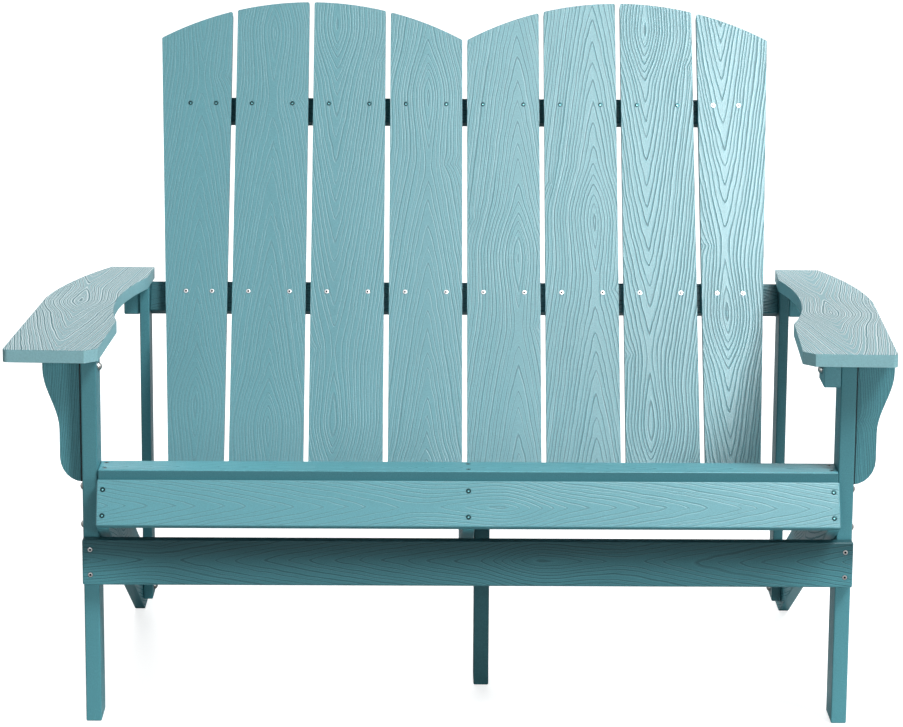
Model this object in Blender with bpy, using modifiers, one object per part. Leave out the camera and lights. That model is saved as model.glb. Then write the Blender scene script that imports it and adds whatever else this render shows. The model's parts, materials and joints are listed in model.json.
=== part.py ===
"""Adirondack loveseat in plastic lumber: a two-seat garden bench screwed and bolted from flat boards.

Metres, +Z up. The bench faces -Y. While it is built, X = 0 is the middle of the frame, Y = 0 the front
faces of the front legs and Z = 0 the ground. At the end the whole bench is moved so that its origin is
the middle of its footprint.
"""

import math

import bmesh
import bpy
from mathutils import Matrix, Vector

# Fits shared by all pieces
FIT = 0.0003  # clearance between two boards that are screwed together
EDGE_R = 0.002  # eased edge of every board
OVERRUN = 0.01  # how far a drill passes its hole at each end

# Front legs and apron
LEG_SPAN = 1.0824  # over the outer faces of the front legs
LEG_T = 0.022
LEG_D = 0.059
APRON_T = 0.018
APRON_H = 0.0657
APRON_Z = 0.2064  # its lower edge above the ground

# Stringers, the sloping side rails that end in the rear feet
STRINGER_T = 0.017
STRINGER_W = 0.090
STRINGER_SLOPE = 26.0
STRINGER_TOP = 0.3515  # height of the level cut that carries the first seat slat
STRINGER_NOSE_Y = -0.0046  # front end of the level cut
STRINGER_END_Y = 0.700
STRINGER_HEEL_R = 0.012
CENTRE_STRINGER_RUN = 0.392  # its sloping top edge; it ends behind the bottom batten, off the ground

# Centre leg
CENTRE_LEG_Y = 0.1745
CENTRE_LEG_DROP = 0.004  # from the stringer's top edge down to the cut top of the leg
WASHER_T = 0.003  # the centre leg stands off its stringer by a washer at each bolt
WASHER_R = 0.008

# Seat slats
SEAT_T = 0.018
SEAT_SLAT_W = 0.058
LEVEL_SLAT_W = 0.055
SLOPED_SLATS = 5
FRONT_SLAT_W = 0.066
FRONT_SLAT_T = 0.017
FRONT_SLAT_RISE = 0.001  # how far it stands above the end cuts of the stringers

# Rear posts
POST_T = 0.015
POST_D = 0.055
POST_Y = 0.5256
POST_FOOT_Z = 0.027

# Back: its frame starts at the middle of the lower rail's front face
BACK_RECLINE = 28.9
RAIL_SETBACK = 0.0199  # from the posts' front faces to the middle of the rail's front face
RAIL_Z = 0.5096
RAIL_H = 0.0475
BATTEN_T = 0.020
UPPER_BATTEN_S = 0.3083  # along the slats, from the middle of the rail to the middle of the batten
UPPER_BATTEN_H = 0.0403
UPPER_BATTEN_INSET = 0.014  # short of the outer slats' edges
BOTTOM_BATTEN_H = 0.050
SLATS = 8
SLAT_GAP = 0.0077
SLAT_T = 0.018
SLAT_CORNER_R = 0.003
BACK_INSET = 0.003  # from each rear post to the slats' outer half gap
OUTER_SLAT_HEAD_TRIM = 0.0022  # how much narrower the outer slats are at their heads
OUTER_SLAT_FOOT_TRIM = 0.0322  # and at their feet
ARCH_TOP_S = 0.483  # top of each arch, along the slats from the rail
ARCH_R = 0.4815

# Armrests
ARM_TOP = 0.548
ARM_T = 0.018
ARM_FRONT_Y = -0.044
ARM_KINK_Y = 0.331
ARM_REACH = 0.0753  # past the outer face of the front leg, at the front
ARM_FRONT_W = 0.131
ARM_KINK_STEP = 0.003  # how far the outer edge draws in before it bends
ARM_BACK_W = 0.0669
ARM_BACK_OVERHANG = 0.0035  # past the inner face of the rear post
ARM_OUTER_BULGE = 0.011
HOLLOW_FRONT_Y = 0.164
HOLLOW_BACK_Y = 0.494
HOLLOW_DEPTH = 0.0218
ARM_CORNER_R = 0.008  # the outer front corner
ARM_CHAMFER = 0.017  # sawn off the inner front corner
ARM_EDGE_R = 0.001
ARM_TURNS = {"left": 2.8, "right": 2.4}  # both sit turned to the left about the rear posts

# Brackets under the armrests and the blocks that carry them
BRACKET_T = 0.018
BRACKET_H = 0.1835
BRACKET_TOP_W = 0.055
BRACKET_WAIST_W = 0.0325
BRACKET_FOOT_H = 0.036
OGEE_START = 0.075  # above the bracket's lower end
OGEE_END = 0.163
BLOCK_T = 0.024
REAR_BLOCK_H = 0.047
REAR_BLOCK_D = 0.045
FRONT_BLOCK_H = 0.039
FRONT_BLOCK_D = 0.060

# Bolts and nuts
BOLT_R = 0.003
BOLT_HEAD_R = 0.0063
BOLT_HEAD_H = 0.0055
BOLT_END = 0.0015  # thread that shows past the nut
BOLT_CHAMFER = 0.0006
NUT_AF = 0.010  # across the flats
NUT_T = 0.005
LEG_BOLTS_Z = (0.2825, 0.338)
CENTRE_BOLTS_Z = (0.205, 0.250)
POST_BOLTS_Z = (0.042, 0.088)
ARM_BOLT_Z = 0.5105
ARM_BOLT_GRIP = 0.035  # how far the arm bolt runs into the bracket

# How finely round stretches are divided
ARC_STEPS = 10
CORNER_STEPS = 4
FOOT_STEPS = 6
BOLT_SIDES = 16
HEAD_STEPS = 4
SHARP_ANGLE = 40.0  # between faces, in degrees: above it an edge is eased and drawn sharp

# Finishes: colour, roughness, metallic
FINISHES = {
    "lumber": ((0.155, 0.385, 0.440, 1.0), 0.55, 0.0),
    "steel": ((0.62, 0.62, 0.60, 1.0), 0.28, 1.0),
}

# Places that follow from the sizes above
SLOPE = math.radians(STRINGER_SLOPE)
RECLINE = math.radians(BACK_RECLINE)
LEG_OUT = LEG_SPAN / 2
LEG_IN = LEG_OUT - LEG_T
STRINGER_OUT = LEG_IN - FIT
STRINGER_IN = STRINGER_OUT - STRINGER_T
POST_OUT = STRINGER_IN - FIT
POST_IN = POST_OUT - POST_T
ARM_UNDER = ARM_TOP - ARM_T
LEG_MID_Y = LEG_D / 2
POST_MID_Y = POST_Y + POST_D / 2
STRINGER_NOSE_H = STRINGER_W - LEVEL_SLAT_W * math.sin(SLOPE)
SLOPE_START_Y = STRINGER_NOSE_Y + LEVEL_SLAT_W
SLAT_PITCH = 2 * (POST_IN - BACK_INSET) / SLATS
SLAT_W = SLAT_PITCH - SLAT_GAP
SIDES = {"left": -1, "right": 1}


def clear_scene():
    for obj in list(bpy.data.objects):
        bpy.data.objects.remove(obj, do_unlink=True)


def make_collection(name):
    collection = bpy.data.collections.new(name)
    bpy.context.scene.collection.children.link(collection)
    return collection


def make_material(name, finish):
    colour, roughness, metallic = FINISHES[finish]
    material = bpy.data.materials.new(f"{name} {finish}")
    material.use_nodes = True
    shader = material.node_tree.nodes["Principled BSDF"]
    shader.inputs["Base Color"].default_value = colour
    shader.inputs["Roughness"].default_value = roughness
    shader.inputs["Metallic"].default_value = metallic
    return material


def frame(origin, x_axis, y_axis):
    """The matrix of a local frame with these two axes; its third axis completes them."""
    x_axis = Vector(x_axis).normalized()
    y_axis = Vector(y_axis).normalized()
    matrix = Matrix.Identity(4)
    for column, axis in enumerate((x_axis, y_axis, x_axis.cross(y_axis), Vector(origin))):
        matrix.col[column].xyz = axis
    return matrix


def along_x(x):
    """Outlines drawn in Y and Z, with their thickness along X."""
    return frame((x, 0, 0), (0, 1, 0), (0, 0, 1))


def along_y(y):
    """Outlines drawn in X and Z, with their thickness along Y."""
    return frame((0, y, 0), (1, 0, 0), (0, 0, 1))


GROUND = Matrix.Identity(4)
BACK = frame((0, POST_Y + RAIL_SETBACK, RAIL_Z), (1, 0, 0), (0, math.sin(RECLINE), math.cos(RECLINE)))
SEAT = frame((0, SLOPE_START_Y, STRINGER_TOP), (1, 0, 0), (0, math.cos(SLOPE), -math.sin(SLOPE)))
NOSE = frame((0, STRINGER_NOSE_Y, STRINGER_TOP), (1, 0, 0), (0, math.sin(SLOPE), math.cos(SLOPE)))


def ease_edges(obj, radius=EDGE_R):
    bevel = obj.modifiers.new("eased edges", "BEVEL")
    bevel.width = radius
    bevel.segments = 2
    bevel.limit_method = "ANGLE"
    bevel.angle_limit = math.radians(SHARP_ANGLE)


def add_object(name, mesh, matrix, finish):
    obj = bpy.data.objects.new(name, mesh)
    PARTS.objects.link(obj)
    obj.matrix_world = matrix
    mesh.materials.append(make_material(name, finish))
    return obj


def board(name, place, low, high):
    """A plain board: the box between two corners in the frame `place`."""
    low, high = Vector(low), Vector(high)
    mesh = bpy.data.meshes.new(name)
    box = bmesh.new()
    bmesh.ops.create_cube(box, size=1.0, matrix=Matrix.Diagonal((*(high - low), 1)))
    box.to_mesh(mesh)
    box.free()
    obj = add_object(name, mesh, place @ Matrix.Translation((low + high) / 2), "lumber")
    ease_edges(obj)
    return obj


def cut_board(name, place, outlines, thickness, finish="lumber"):
    """A board sawn to an outline, centred on the frame's plane; a second outline is a hole in it."""
    curve = bpy.data.curves.new(name, "CURVE")
    curve.dimensions = "2D"
    curve.fill_mode = "BOTH"
    curve.extrude = thickness / 2
    for points in outlines:
        spline = curve.splines.new("POLY")
        spline.points.add(len(points) - 1)
        for point, (x, y) in zip(spline.points, points):
            point.co = (x, y, 0, 1)
        spline.use_cyclic_u = True
    drawn = bpy.data.objects.new(name + " outline", curve)
    PARTS.objects.link(drawn)
    bpy.context.view_layer.update()
    mesh = bpy.data.meshes.new_from_object(drawn.evaluated_get(bpy.context.evaluated_depsgraph_get()))
    bpy.data.objects.remove(drawn)
    closed = bmesh.new()
    closed.from_mesh(mesh)
    bmesh.ops.remove_doubles(closed, verts=closed.verts, dist=FIT / 10)
    bmesh.ops.recalc_face_normals(closed, faces=closed.faces)
    closed.to_mesh(mesh)
    closed.free()
    mesh.shade_smooth()
    mesh.set_sharp_from_angle(angle=math.radians(SHARP_ANGLE))
    return add_object(name, mesh, place, finish)


def arc(centre, radius, start, end, steps):
    """Points on a circle from one angle to another, in radians."""
    turns = [start + (end - start) * i / steps for i in range(steps + 1)]
    return [(centre[0] + radius * math.cos(a), centre[1] + radius * math.sin(a)) for a in turns]


def bowed(start, end, bulge, steps):
    """An arc from start to end that bows to the right of the way it runs by `bulge`."""
    start, end = Vector(start), Vector(end)
    chord = end - start
    radius = (chord.length**2 / 4 + bulge**2) / (2 * bulge)
    right = Vector((chord.y, -chord.x)).normalized()
    centre = (start + end) / 2 - right * (radius - bulge)
    first = start - centre
    sweep = first.angle_signed(end - centre)
    angle = math.atan2(first.y, first.x)
    return arc(centre, radius, angle, angle - sweep, steps)


def corner(before, tip, after, radius):
    """The round that replaces the corner `tip` between two straight edges."""
    before, tip, after = Vector(before), Vector(tip), Vector(after)
    into, out = (before - tip).normalized(), (after - tip).normalized()
    half = into.angle(out) / 2
    centre = tip + (into + out).normalized() * radius / math.sin(half)
    first = tip + into * radius / math.tan(half) - centre
    last = tip + out * radius / math.tan(half) - centre
    angle = math.atan2(first.y, first.x)
    return arc(centre, radius, angle, angle - first.angle_signed(last), CORNER_STEPS)


def mirrored(points, side):
    """The outline for the left side (-1) or the right side (1)."""
    return [(side * x, y) for x, y in points]


def stringer_top(y):
    """Height of the stringers' sloping top edge."""
    return STRINGER_TOP - (y - SLOPE_START_Y) * math.tan(SLOPE)


def stringer_nose():
    """The front end: cut square below, level on top, then the start of the slope."""
    foot = (
        STRINGER_NOSE_Y - STRINGER_NOSE_H * math.sin(SLOPE),
        STRINGER_TOP - STRINGER_NOSE_H * math.cos(SLOPE),
    )
    return [foot, (STRINGER_NOSE_Y, STRINGER_TOP), (SLOPE_START_Y, STRINGER_TOP)]


def outer_stringer_outline():
    """Runs down to the ground, where it is cut level as the rear foot."""
    nose = stringer_nose()
    heel_tip = (STRINGER_END_Y, stringer_top(STRINGER_END_Y))
    heel = corner(nose[2], heel_tip, (STRINGER_END_Y, 0), STRINGER_HEEL_R)
    toe = (nose[0][0] + nose[0][1] / math.tan(SLOPE), 0)
    return [*nose, *heel, (STRINGER_END_Y, 0), toe]


def centre_stringer_outline():
    """Cut square behind the bottom batten; the centre leg carries it."""
    end = Vector(stringer_nose()[2]) + CENTRE_STRINGER_RUN * Vector((math.cos(SLOPE), -math.sin(SLOPE)))
    under = end - STRINGER_W * Vector((math.sin(SLOPE), math.cos(SLOPE)))
    return [*stringer_nose(), tuple(end), tuple(under)]


def make_stringers():
    for side, sign in SIDES.items():
        place = along_x(sign * (STRINGER_OUT + STRINGER_IN) / 2)
        ease_edges(cut_board(f"stringer_{side}", place, [outer_stringer_outline()], STRINGER_T))
    ease_edges(cut_board("stringer_centre", along_x(0), [centre_stringer_outline()], STRINGER_T))


def make_legs():
    for side, sign in SIDES.items():
        low, high = sorted((sign * LEG_IN, sign * LEG_OUT))
        board(f"front_leg_{side}", GROUND, (low, 0, 0), (high, LEG_D, ARM_UNDER - FIT))
        low, high = sorted((sign * POST_IN, sign * POST_OUT))
        back_y = POST_Y + POST_D
        board(f"rear_post_{side}", GROUND, (low, POST_Y, POST_FOOT_Z), (high, back_y, ARM_UNDER - FIT))
    front, back = CENTRE_LEG_Y, CENTRE_LEG_Y + LEG_D
    slanted = [(front, stringer_top(front) - CENTRE_LEG_DROP), (back, stringer_top(back) - CENTRE_LEG_DROP)]
    outline = [(front, 0), *slanted, (back, 0)]
    leg = cut_board("centre_leg", along_x(centre_leg_x()), [outline], LEG_T)
    ease_edges(leg)


def centre_leg_x():
    """The middle of the centre leg, which stands to the right of the centre stringer."""
    return STRINGER_T / 2 + 2 * FIT + WASHER_T + LEG_T / 2


def make_apron():
    low = (-LEG_OUT, -FIT - APRON_T, APRON_Z)
    high = (LEG_OUT, -FIT, APRON_Z + APRON_H)
    board("front_apron", GROUND, low, high)


def make_seat():
    top = FRONT_SLAT_RISE
    low = (-STRINGER_OUT, top - FRONT_SLAT_W, FIT)
    board("seat_front_slat", NOSE, low, (STRINGER_OUT, top, FIT + FRONT_SLAT_T))
    low = (-STRINGER_OUT, STRINGER_NOSE_Y, STRINGER_TOP + FIT)
    high = (STRINGER_OUT, STRINGER_NOSE_Y + LEVEL_SLAT_W, STRINGER_TOP + FIT + SEAT_T)
    board("seat_slat_1", GROUND, low, high)
    gap = (sloping_seat_length() - SLOPED_SLATS * SEAT_SLAT_W) / (SLOPED_SLATS + 1)
    for i in range(SLOPED_SLATS):
        front = gap + i * (SEAT_SLAT_W + gap)
        low = (-STRINGER_OUT, front, FIT)
        board(f"seat_slat_{i + 2}", SEAT, low, (STRINGER_OUT, front + SEAT_SLAT_W, FIT + SEAT_T))


def sloping_seat_length():
    """From the start of the slope to the front faces of the back slats, along the stringers."""
    foot = BACK.inverted() @ SEAT.translation
    return (foot.z - FIT - SLAT_T) / math.cos(RECLINE - SLOPE)


def above_stringers(depth):
    """Where the back's frame, at this depth behind its front plane, meets the stringers' top edges."""
    start = BACK.inverted() @ SEAT.translation
    lean = math.tan(RECLINE - SLOPE)
    return start.y + (start.z + depth) * lean + FIT / math.cos(RECLINE - SLOPE)


def arch_height(x, middle):
    return ARCH_TOP_S - ARCH_R + math.sqrt(ARCH_R**2 - (x - middle) ** 2)


def arched_corner(foot, head, inward, middle):
    """Centre and end angles of the round between a slat's straight side and the arch above it."""
    foot, run = Vector(foot), (Vector(head) - Vector(foot)).normalized()
    normal = Vector((run.y, -run.x)) * inward
    crown = Vector((middle, ARCH_TOP_S - ARCH_R))
    start = foot + normal * SLAT_CORNER_R - crown
    along = start.dot(run)
    reach = -along + math.sqrt(along**2 - start.length_squared + (ARCH_R - SLAT_CORNER_R) ** 2)
    centre = foot + normal * SLAT_CORNER_R + run * reach
    out = centre - crown
    return centre, math.atan2(-normal.y, -normal.x), math.atan2(out.y, out.x)


def slat_outline(index):
    """One back slat between its foot and its arch, in the frame of the back."""
    half = SLATS // 2
    left = foot_left = (index - half) * SLAT_PITCH + SLAT_GAP / 2
    right = foot_right = left + SLAT_W
    arch_middle = math.copysign(half * SLAT_PITCH / 2, left + right)
    if index == 0:
        left, foot_left = left + OUTER_SLAT_HEAD_TRIM, left + OUTER_SLAT_FOOT_TRIM
    if index == SLATS - 1:
        right, foot_right = right - OUTER_SLAT_HEAD_TRIM, right - OUTER_SLAT_FOOT_TRIM
    foot = above_stringers(0)
    left_head = (left, arch_height(left, arch_middle))
    right_head = (right, arch_height(right, arch_middle))
    centre_l, side_l, top_l = arched_corner((foot_left, foot), left_head, 1, arch_middle)
    centre_r, side_r, top_r = arched_corner((foot_right, foot), right_head, -1, arch_middle)
    left_round = arc(centre_l, SLAT_CORNER_R, side_l % math.tau, top_l, CORNER_STEPS)
    right_round = arc(centre_r, SLAT_CORNER_R, top_r, side_r, CORNER_STEPS)
    crown = arc((arch_middle, ARCH_TOP_S - ARCH_R), ARCH_R, top_l, top_r, ARC_STEPS)
    return [(foot_left, foot), *left_round, *crown[1:-1], *right_round, (foot_right, foot)]


def make_back():
    rail_half = POST_IN - FIT
    board("lower_back_rail", BACK, (-rail_half, -RAIL_H / 2, -BATTEN_T), (rail_half, RAIL_H / 2, 0))
    batten_half = SLATS / 2 * SLAT_PITCH - SLAT_GAP / 2 - UPPER_BATTEN_INSET
    low = (-batten_half, UPPER_BATTEN_S - UPPER_BATTEN_H / 2, -BATTEN_T)
    board("upper_back_batten", BACK, low, (batten_half, UPPER_BATTEN_S + UPPER_BATTEN_H / 2, 0))
    foot = above_stringers(BATTEN_T)
    low = (-STRINGER_OUT, foot, -BATTEN_T)
    board("bottom_back_batten", BACK, low, (STRINGER_OUT, foot + BOTTOM_BATTEN_H, 0))
    middle = BACK @ Matrix.Translation((0, 0, FIT + SLAT_T / 2))
    for i in range(SLATS):
        ease_edges(cut_board(f"back_slat_{i + 1}", middle, [slat_outline(i)], SLAT_T))


def armrest_outline():
    """The right armrest before it is turned, going round from its rear inner corner."""
    back_y = POST_Y + POST_D
    back_in = POST_IN - ARM_BACK_OVERHANG
    outer = LEG_OUT + ARM_REACH
    inner = outer - ARM_FRONT_W
    kink = (outer - ARM_KINK_STEP, ARM_KINK_Y)
    front_out, front_in = (outer, ARM_FRONT_Y), (inner + ARM_CHAMFER, ARM_FRONT_Y)
    hollow_front, hollow_back = (inner, HOLLOW_FRONT_Y), (back_in, HOLLOW_BACK_Y)
    return [
        (back_in, back_y),
        *bowed(kink, (back_in + ARM_BACK_W, back_y), ARM_OUTER_BULGE, ARC_STEPS)[::-1],
        *corner(kink, front_out, front_in, ARM_CORNER_R),
        front_in,
        (inner, ARM_FRONT_Y + ARM_CHAMFER),
        *bowed(hollow_front, hollow_back, HOLLOW_DEPTH, ARC_STEPS),
    ]


def make_armrests():
    for side, sign in SIDES.items():
        pivot = Vector((sign * (POST_IN + POST_OUT) / 2, POST_MID_Y, ARM_UNDER + ARM_T / 2))
        outline = [(x - pivot.x, y - pivot.y) for x, y in mirrored(armrest_outline(), sign)]
        turned = Matrix.Translation(pivot) @ Matrix.Rotation(-math.radians(ARM_TURNS[side]), 4, "Z")
        ease_edges(cut_board(f"armrest_{side}", turned, [outline], ARM_T), ARM_EDGE_R)


def bracket_outline():
    """Square at the top, an ogee in to the waist and a quarter of an ellipse at the foot."""
    inner, top = LEG_OUT + FIT, ARM_UNDER - FIT
    foot = top - BRACKET_H
    turns = [math.pi / 2 * i / FOOT_STEPS for i in range(FOOT_STEPS + 1)]
    quarter = [
        (inner + BRACKET_WAIST_W * math.sin(a), foot + BRACKET_FOOT_H * (1 - math.cos(a))) for a in turns
    ]
    ogee = []
    for i in range(ARC_STEPS + 1):
        share = i / ARC_STEPS
        ease = (1 - math.cos(math.pi * share)) / 2
        width = BRACKET_WAIST_W + (BRACKET_TOP_W - BRACKET_WAIST_W) * ease
        ogee.append((inner + width, foot + OGEE_START + (OGEE_END - OGEE_START) * share))
    return [*quarter, *ogee, (inner + BRACKET_TOP_W, top), (inner, top)]


def make_arm_supports():
    top = ARM_UNDER - FIT
    for side, sign in SIDES.items():
        outline = mirrored(bracket_outline(), sign)
        ease_edges(cut_board(f"arm_bracket_{side}", along_y(LEG_MID_Y), [outline], BRACKET_T))
        near, far = POST_OUT + FIT, POST_OUT + FIT + BLOCK_T
        low, high = sorted((sign * near, sign * far))
        front = POST_MID_Y - REAR_BLOCK_D / 2
        corners = (low, front, top - REAR_BLOCK_H), (high, front + REAR_BLOCK_D, top)
        board(f"rear_arm_block_{side}", GROUND, *corners)
    low = (LEG_IN - FIT - BLOCK_T, LEG_MID_Y - FRONT_BLOCK_D / 2, top - FRONT_BLOCK_H)
    high = (LEG_IN - FIT, LEG_MID_Y + FRONT_BLOCK_D / 2, top)
    board("front_arm_block_right", GROUND, low, high)


def bolt_profile(length):
    """Half section of a domed bolt: the head stands on Z = 0 and the shank hangs below it."""
    radius = (BOLT_HEAD_R**2 + BOLT_HEAD_H**2) / (2 * BOLT_HEAD_H)
    rim = math.asin(BOLT_HEAD_R / radius)
    dome = arc((0, BOLT_HEAD_H - radius), radius, math.pi / 2, math.pi / 2 - rim, HEAD_STEPS)
    shank = [(BOLT_R, 0), (BOLT_R, BOLT_CHAMFER - length), (BOLT_R - BOLT_CHAMFER, -length), (0, -length)]
    return [(0, BOLT_HEAD_H), *dome[1:], *shank]


def turned_mesh_object(name, profile, matrix):
    """A body of revolution about its own Z, from a half section that runs from top to bottom."""
    mesh = bpy.data.meshes.new(name)
    section = bmesh.new()
    points = [section.verts.new((x, 0, z)) for x, z in profile]
    for a, b in zip(points, points[1:]):
        section.edges.new((a, b))
    section.to_mesh(mesh)
    section.free()
    obj = add_object(name, mesh, matrix, "steel")
    screw = obj.modifiers.new("revolve", "SCREW")
    screw.steps = BOLT_SIDES
    screw.render_steps = BOLT_SIDES
    screw.use_merge_vertices = True
    screw.merge_threshold = FIT / 10
    return obj


def add_drill(name, start, run, length):
    """A cutter for a bolt hole: from `start`, along X in the direction of `run`."""
    mesh = bpy.data.meshes.new(name)
    rod = bmesh.new()
    radius = BOLT_R + FIT
    bmesh.ops.create_cone(
        rod, cap_ends=True, segments=BOLT_SIDES, radius1=radius, radius2=radius, depth=length
    )
    rod.to_mesh(mesh)
    rod.free()
    drill = bpy.data.objects.new(name, mesh)
    CUTTERS.objects.link(drill)
    middle = Vector(start) + Vector((run * length / 2, 0, 0))
    drill.matrix_world = Matrix.Translation(middle) @ Matrix.Rotation(math.pi / 2, 4, "Y")
    drill.hide_render = True
    drill.display_type = "WIRE"
    return drill


def drill_through(drill, names):
    for name in names:
        hole = bpy.data.objects[name].modifiers.new("bolt hole", "BOOLEAN")
        hole.operation = "DIFFERENCE"
        hole.solver = "EXACT"
        hole.object = drill


def bolt(name, seat, run, grip, boards, nut=True):
    """A bolt whose head sits on `seat` and whose shank runs along X through `grip` of boards."""
    head_x = seat[0] - run * FIT
    length = grip + 2 * FIT
    if nut:
        length += NUT_T + BOLT_END
    place = Matrix.Translation((head_x, seat[1], seat[2])) @ Matrix.Rotation(-run * math.pi / 2, 4, "Y")
    turned_mesh_object(name, bolt_profile(length), place)
    drilled = grip + 2 * OVERRUN if nut else length + OVERRUN + FIT
    start = (seat[0] - run * OVERRUN, seat[1], seat[2])
    drill_through(add_drill(name + " drill", start, run, drilled), boards)
    if nut:
        middle = seat[0] + run * (grip + FIT + NUT_T / 2)
        ring(name + "_nut", (middle, seat[1], seat[2]), NUT_AF / 2 / math.cos(math.pi / 6), 6, NUT_T)


def ring(name, middle, radius, sides, thickness):
    """A nut or a washer, bored for a bolt that runs along X."""
    x, y, z = middle
    rim = arc((y, z), radius, 0, math.tau, sides)[:-1]
    bore = arc((y, z), BOLT_R + FIT, 0, math.tau, BOLT_SIDES)[:-1]
    cut_board(name, along_x(x), [rim, bore], thickness, "steel")


def make_bolts():
    for side, sign in SIDES.items():
        for i, z in enumerate(LEG_BOLTS_Z):
            seat = (sign * LEG_OUT, LEG_MID_Y, z)
            boards = (f"front_leg_{side}", f"stringer_{side}")
            bolt(f"leg_bolt_{side}_{i + 1}", seat, -sign, LEG_OUT - STRINGER_IN, boards)
        for i, z in enumerate(POST_BOLTS_Z):
            seat = (sign * POST_IN, POST_MID_Y, z)
            boards = (f"rear_post_{side}", f"stringer_{side}")
            bolt(f"post_bolt_{side}_{i + 1}", seat, sign, STRINGER_OUT - POST_IN, boards)
        boards = [f"front_leg_{side}", f"arm_bracket_{side}"]
        inner = LEG_IN
        if side == "right":
            boards.append("front_arm_block_right")
            inner = LEG_IN - FIT - BLOCK_T
        grip = LEG_OUT + FIT + ARM_BOLT_GRIP - inner
        bolt(f"arm_bolt_{side}", (sign * inner, LEG_MID_Y, ARM_BOLT_Z), sign, grip, boards, nut=False)
    for i, z in enumerate(CENTRE_BOLTS_Z):
        seat = (centre_leg_x() + LEG_T / 2, CENTRE_LEG_Y + LEG_MID_Y, z)
        grip = STRINGER_T + 2 * FIT + WASHER_T + LEG_T
        bolt(f"centre_leg_bolt_{i + 1}", seat, -1, grip, ("centre_leg", "stringer_centre"))
        middle = (STRINGER_T / 2 + FIT + WASHER_T / 2, seat[1], z)
        ring(f"centre_leg_washer_{i + 1}", middle, WASHER_R, BOLT_SIDES, WASHER_T)


def centre_on_footprint():
    """Moves the bench so that its origin is the middle of its bounding box, on the ground."""
    bpy.context.view_layer.update()
    graph = bpy.context.evaluated_depsgraph_get()
    points = []
    for obj in PARTS.objects:
        shaped = obj.evaluated_get(graph)
        points += [shaped.matrix_world @ vertex.co for vertex in shaped.data.vertices]
    middle = [(min(p[i] for p in points) + max(p[i] for p in points)) / 2 for i in range(2)]
    base = bpy.data.objects.new("loveseat_base", None)
    PARTS.objects.link(base)
    for obj in [*PARTS.objects, *CUTTERS.objects]:
        if obj is not base:
            obj.parent = base
    base.location = (-middle[0], -middle[1], 0)
    bpy.context.view_layer.update()


clear_scene()
PARTS = make_collection("adirondack_loveseat")
CUTTERS = make_collection("cutters")
make_stringers()
make_legs()
make_apron()
make_seat()
make_back()
make_armrests()
make_arm_supports()
make_bolts()
centre_on_footprint()
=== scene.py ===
"""Looks of the adirondack loveseat: embossed plastic lumber, stainless screws and bolts, studio light.

Everything is in metres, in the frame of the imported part: the bench faces -Y, and the origin is the
middle of its footprint on the ground.
"""

import json
import math
import random

import bmesh
import bpy
from mathutils import Matrix, Vector


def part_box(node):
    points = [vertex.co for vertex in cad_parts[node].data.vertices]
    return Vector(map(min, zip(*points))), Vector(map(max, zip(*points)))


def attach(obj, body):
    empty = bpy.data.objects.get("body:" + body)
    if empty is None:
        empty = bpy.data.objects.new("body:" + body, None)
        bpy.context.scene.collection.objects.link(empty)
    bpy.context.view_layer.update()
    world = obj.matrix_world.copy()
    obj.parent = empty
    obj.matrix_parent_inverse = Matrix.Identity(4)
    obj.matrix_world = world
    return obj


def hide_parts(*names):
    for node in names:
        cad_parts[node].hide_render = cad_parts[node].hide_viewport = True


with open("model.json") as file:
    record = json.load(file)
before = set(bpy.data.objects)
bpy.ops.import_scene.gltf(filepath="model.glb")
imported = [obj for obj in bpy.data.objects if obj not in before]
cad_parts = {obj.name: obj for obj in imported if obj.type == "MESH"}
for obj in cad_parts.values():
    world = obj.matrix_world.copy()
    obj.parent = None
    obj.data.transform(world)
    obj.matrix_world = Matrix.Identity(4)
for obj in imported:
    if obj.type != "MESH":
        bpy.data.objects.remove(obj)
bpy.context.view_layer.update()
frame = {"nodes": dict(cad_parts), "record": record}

# The photograph's width in pixels, and the camera fitted to it
PHOTO_W = 903
FOCAL_PX = 3408.77
SENSOR = 36.0  # its width in millimetres
CAMERA_PLACE = (-0.0696, -4.6347, 1.5359)  # from the ground below the legs' front faces, midway between them
CAMERA_DOWN = 12.3262  # in degrees, as the next two are
CAMERA_YAW = 0.5538  # towards +X
CAMERA_ROLL = 0.3615  # with its right side up

# How the boards lie, and how many there are
SEAT_SLOPE = math.radians(26.0)
BACK_RECLINE = math.radians(28.9)
BACK_SLATS = sum(name.startswith("back_slat_") for name in frame["nodes"])
SEAT_SLATS = sum(name.startswith("seat_slat_") for name in frame["nodes"])

# How the boards' meshes are mended and shaded
WELD = 0.00001
FLAT_ANGLE = math.radians(0.1)  # facets that turn or fold back within this are joined into one flat face
SMOOTH_ANGLE = math.radians(60.0)
NORMAL_WEIGHT = 100  # the most there is, so that broad faces stay flat beside their rounded edges

# Countersunk screws
HEAD_R = 0.0034
HEAD_SINK = 0.0004  # how far the rim of the head lies under the board's face
HEAD_CROWN = 0.0002  # how far the middle of the head is domed
HEAD_T = 0.0022
HEAD_SIDES = 24
CROWN_RINGS = 5
HEAD_SMOOTH_ANGLE = math.radians(35.0)
SOCKET_R = 0.0015
SOCKET_SIDES = 6
SOCKET_DEPTH = 0.0016
SOCKET_SEED = 7  # for the way that each socket is turned
POCKET_PLAY = 0.0005  # between the head's rim and the wall of its pocket
POCKET_DEPTH = 0.0030
OVERRUN = 0.004  # how far a cutter stands clear of the face that it cuts

# Where the screws sit, in pairs
PAIR = 2
SLAT_SCREWS = 0.0634  # between the two screws across a back slat
OUTER_SLAT_SCREWS = 0.040
OUTER_SLAT_PAIR = 0.0435  # from an outer slat's inner edge to the middle of its pair
BATTEN_SCREW_RISE = 0.0037  # above the middle of the upper batten
RAIL_SCREW_RISE = 0.0022  # above the middle of the lower rail
APRON_SCREWS = 0.0364
FRONT_SLAT_SCREWS = 0.037
SEAT_SCREWS = 0.030

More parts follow.
